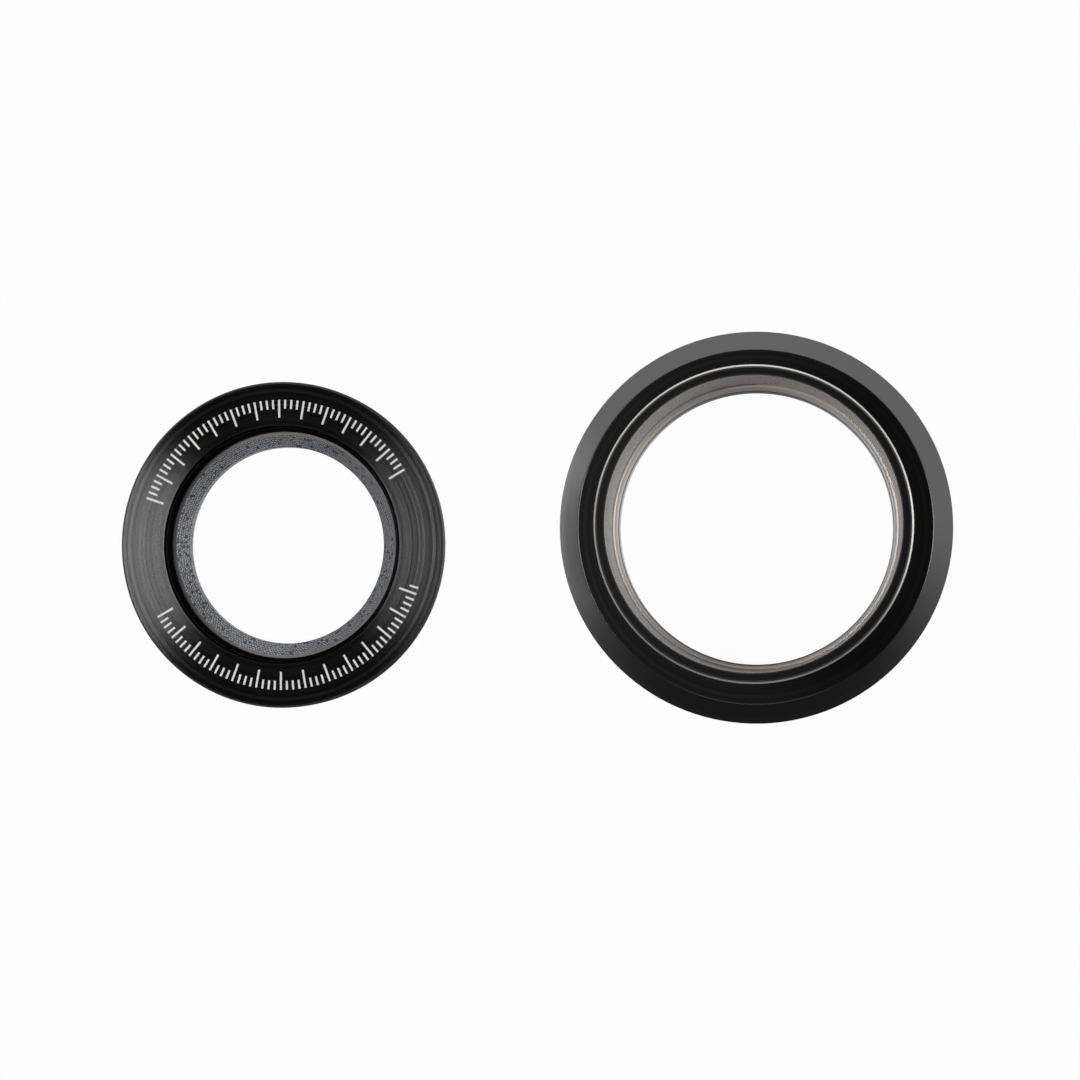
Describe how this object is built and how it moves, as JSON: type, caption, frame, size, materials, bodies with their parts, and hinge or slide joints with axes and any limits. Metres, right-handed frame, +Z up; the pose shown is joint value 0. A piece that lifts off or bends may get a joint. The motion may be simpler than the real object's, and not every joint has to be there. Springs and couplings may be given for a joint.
{
  "type": "bicycle headset",
  "caption": "Headset for a tapered fork: semi-integrated upper bearing assembly with a flat turned cover, and external lower bearing assembly with its crown race, side by side.",
  "frame": {"origin": "middle of the pair's bounding box, on the surface that it stands on", "axes": "+X from the upper assembly to the lower one, +Z up along both steering axes; the upper assembly stands cover up, the lower one stands on its crown race, skirt up"},
  "size_m": [0.1196, 0.0564, 0.025],
  "materials": {
    "cup_black": "black anodised, satin, with a bare turned lead-in at the skirt's end",
    "cover_black": "black anodised over fine turning marks",
    "seal_rubber": "matte moulded rubber",
    "funnel_steel": "cold-formed sheet, satin",
    "liner_mesh": "sliding layer filled with metal mesh, grey with bluish flecks",
    "ring_steel": "ground bearing steel",
    "ball_steel": "polished",
    "cage_polymer": "moulded solid lubricant",
    "race_metal": "turned steel"
  },
  "bodies": {
    "cups": {"upper_cup": "cup_black", "upper_bearing_outer_ring": "ring_steel", "upper_bearing_seat_seal": "seal_rubber", "upper_bearing_wedge_seal": "seal_rubber", "lower_cup": "cup_black", "lower_bearing_outer_ring": "ring_steel", "lower_bearing_seat_seal": "seal_rubber", "lower_bearing_wedge_seal": "seal_rubber"},
    "upper_rotor": {"upper_cover": "cover_black", "upper_cover_seal": "seal_rubber", "compression_ring": "funnel_steel", "compression_ring_liner": "liner_mesh", "upper_bearing_inner_ring": "ring_steel"},
    "lower_rotor": {"crown_race": "race_metal", "crown_race_seal": "seal_rubber", "lower_bearing_inner_ring": "ring_steel"},
    "upper_ball_train": {"upper_bearing_balls": "ball_steel", "upper_bearing_cage": "cage_polymer"},
    "lower_ball_train": {"lower_bearing_balls": "ball_steel", "lower_bearing_cage": "cage_polymer"}
  },
  "joints": [
    {"name": "upper_turn", "type": "hinge", "parent": "cups", "child": "upper_rotor", "pos_m": [-0.03633, -0.00247, 0.0075], "axis": [0, 0, 1], "continuous": true},
    {"name": "upper_ball_roll", "type": "hinge", "parent": "cups", "child": "upper_ball_train", "pos_m": [-0.03633, -0.00247, 0.0075], "axis": [0, 0, 1], "continuous": true},
    {"name": "lower_turn", "type": "hinge", "parent": "cups", "child": "lower_rotor", "pos_m": [0.03162, 0, 0.0061], "axis": [0, 0, 1], "continuous": true},
    {"name": "lower_ball_roll", "type": "hinge", "parent": "cups", "child": "lower_ball_train", "pos_m": [0.03162, 0, 0.0061], "axis": [0, 0, 1], "continuous": true}
  ],
  "couplings": [
    {"joint": "upper_ball_roll", "follows": "upper_turn", "ratio": 0.4688},
    {"joint": "lower_ball_roll", "follows": "lower_turn", "ratio": 0.4756}
  ]
}
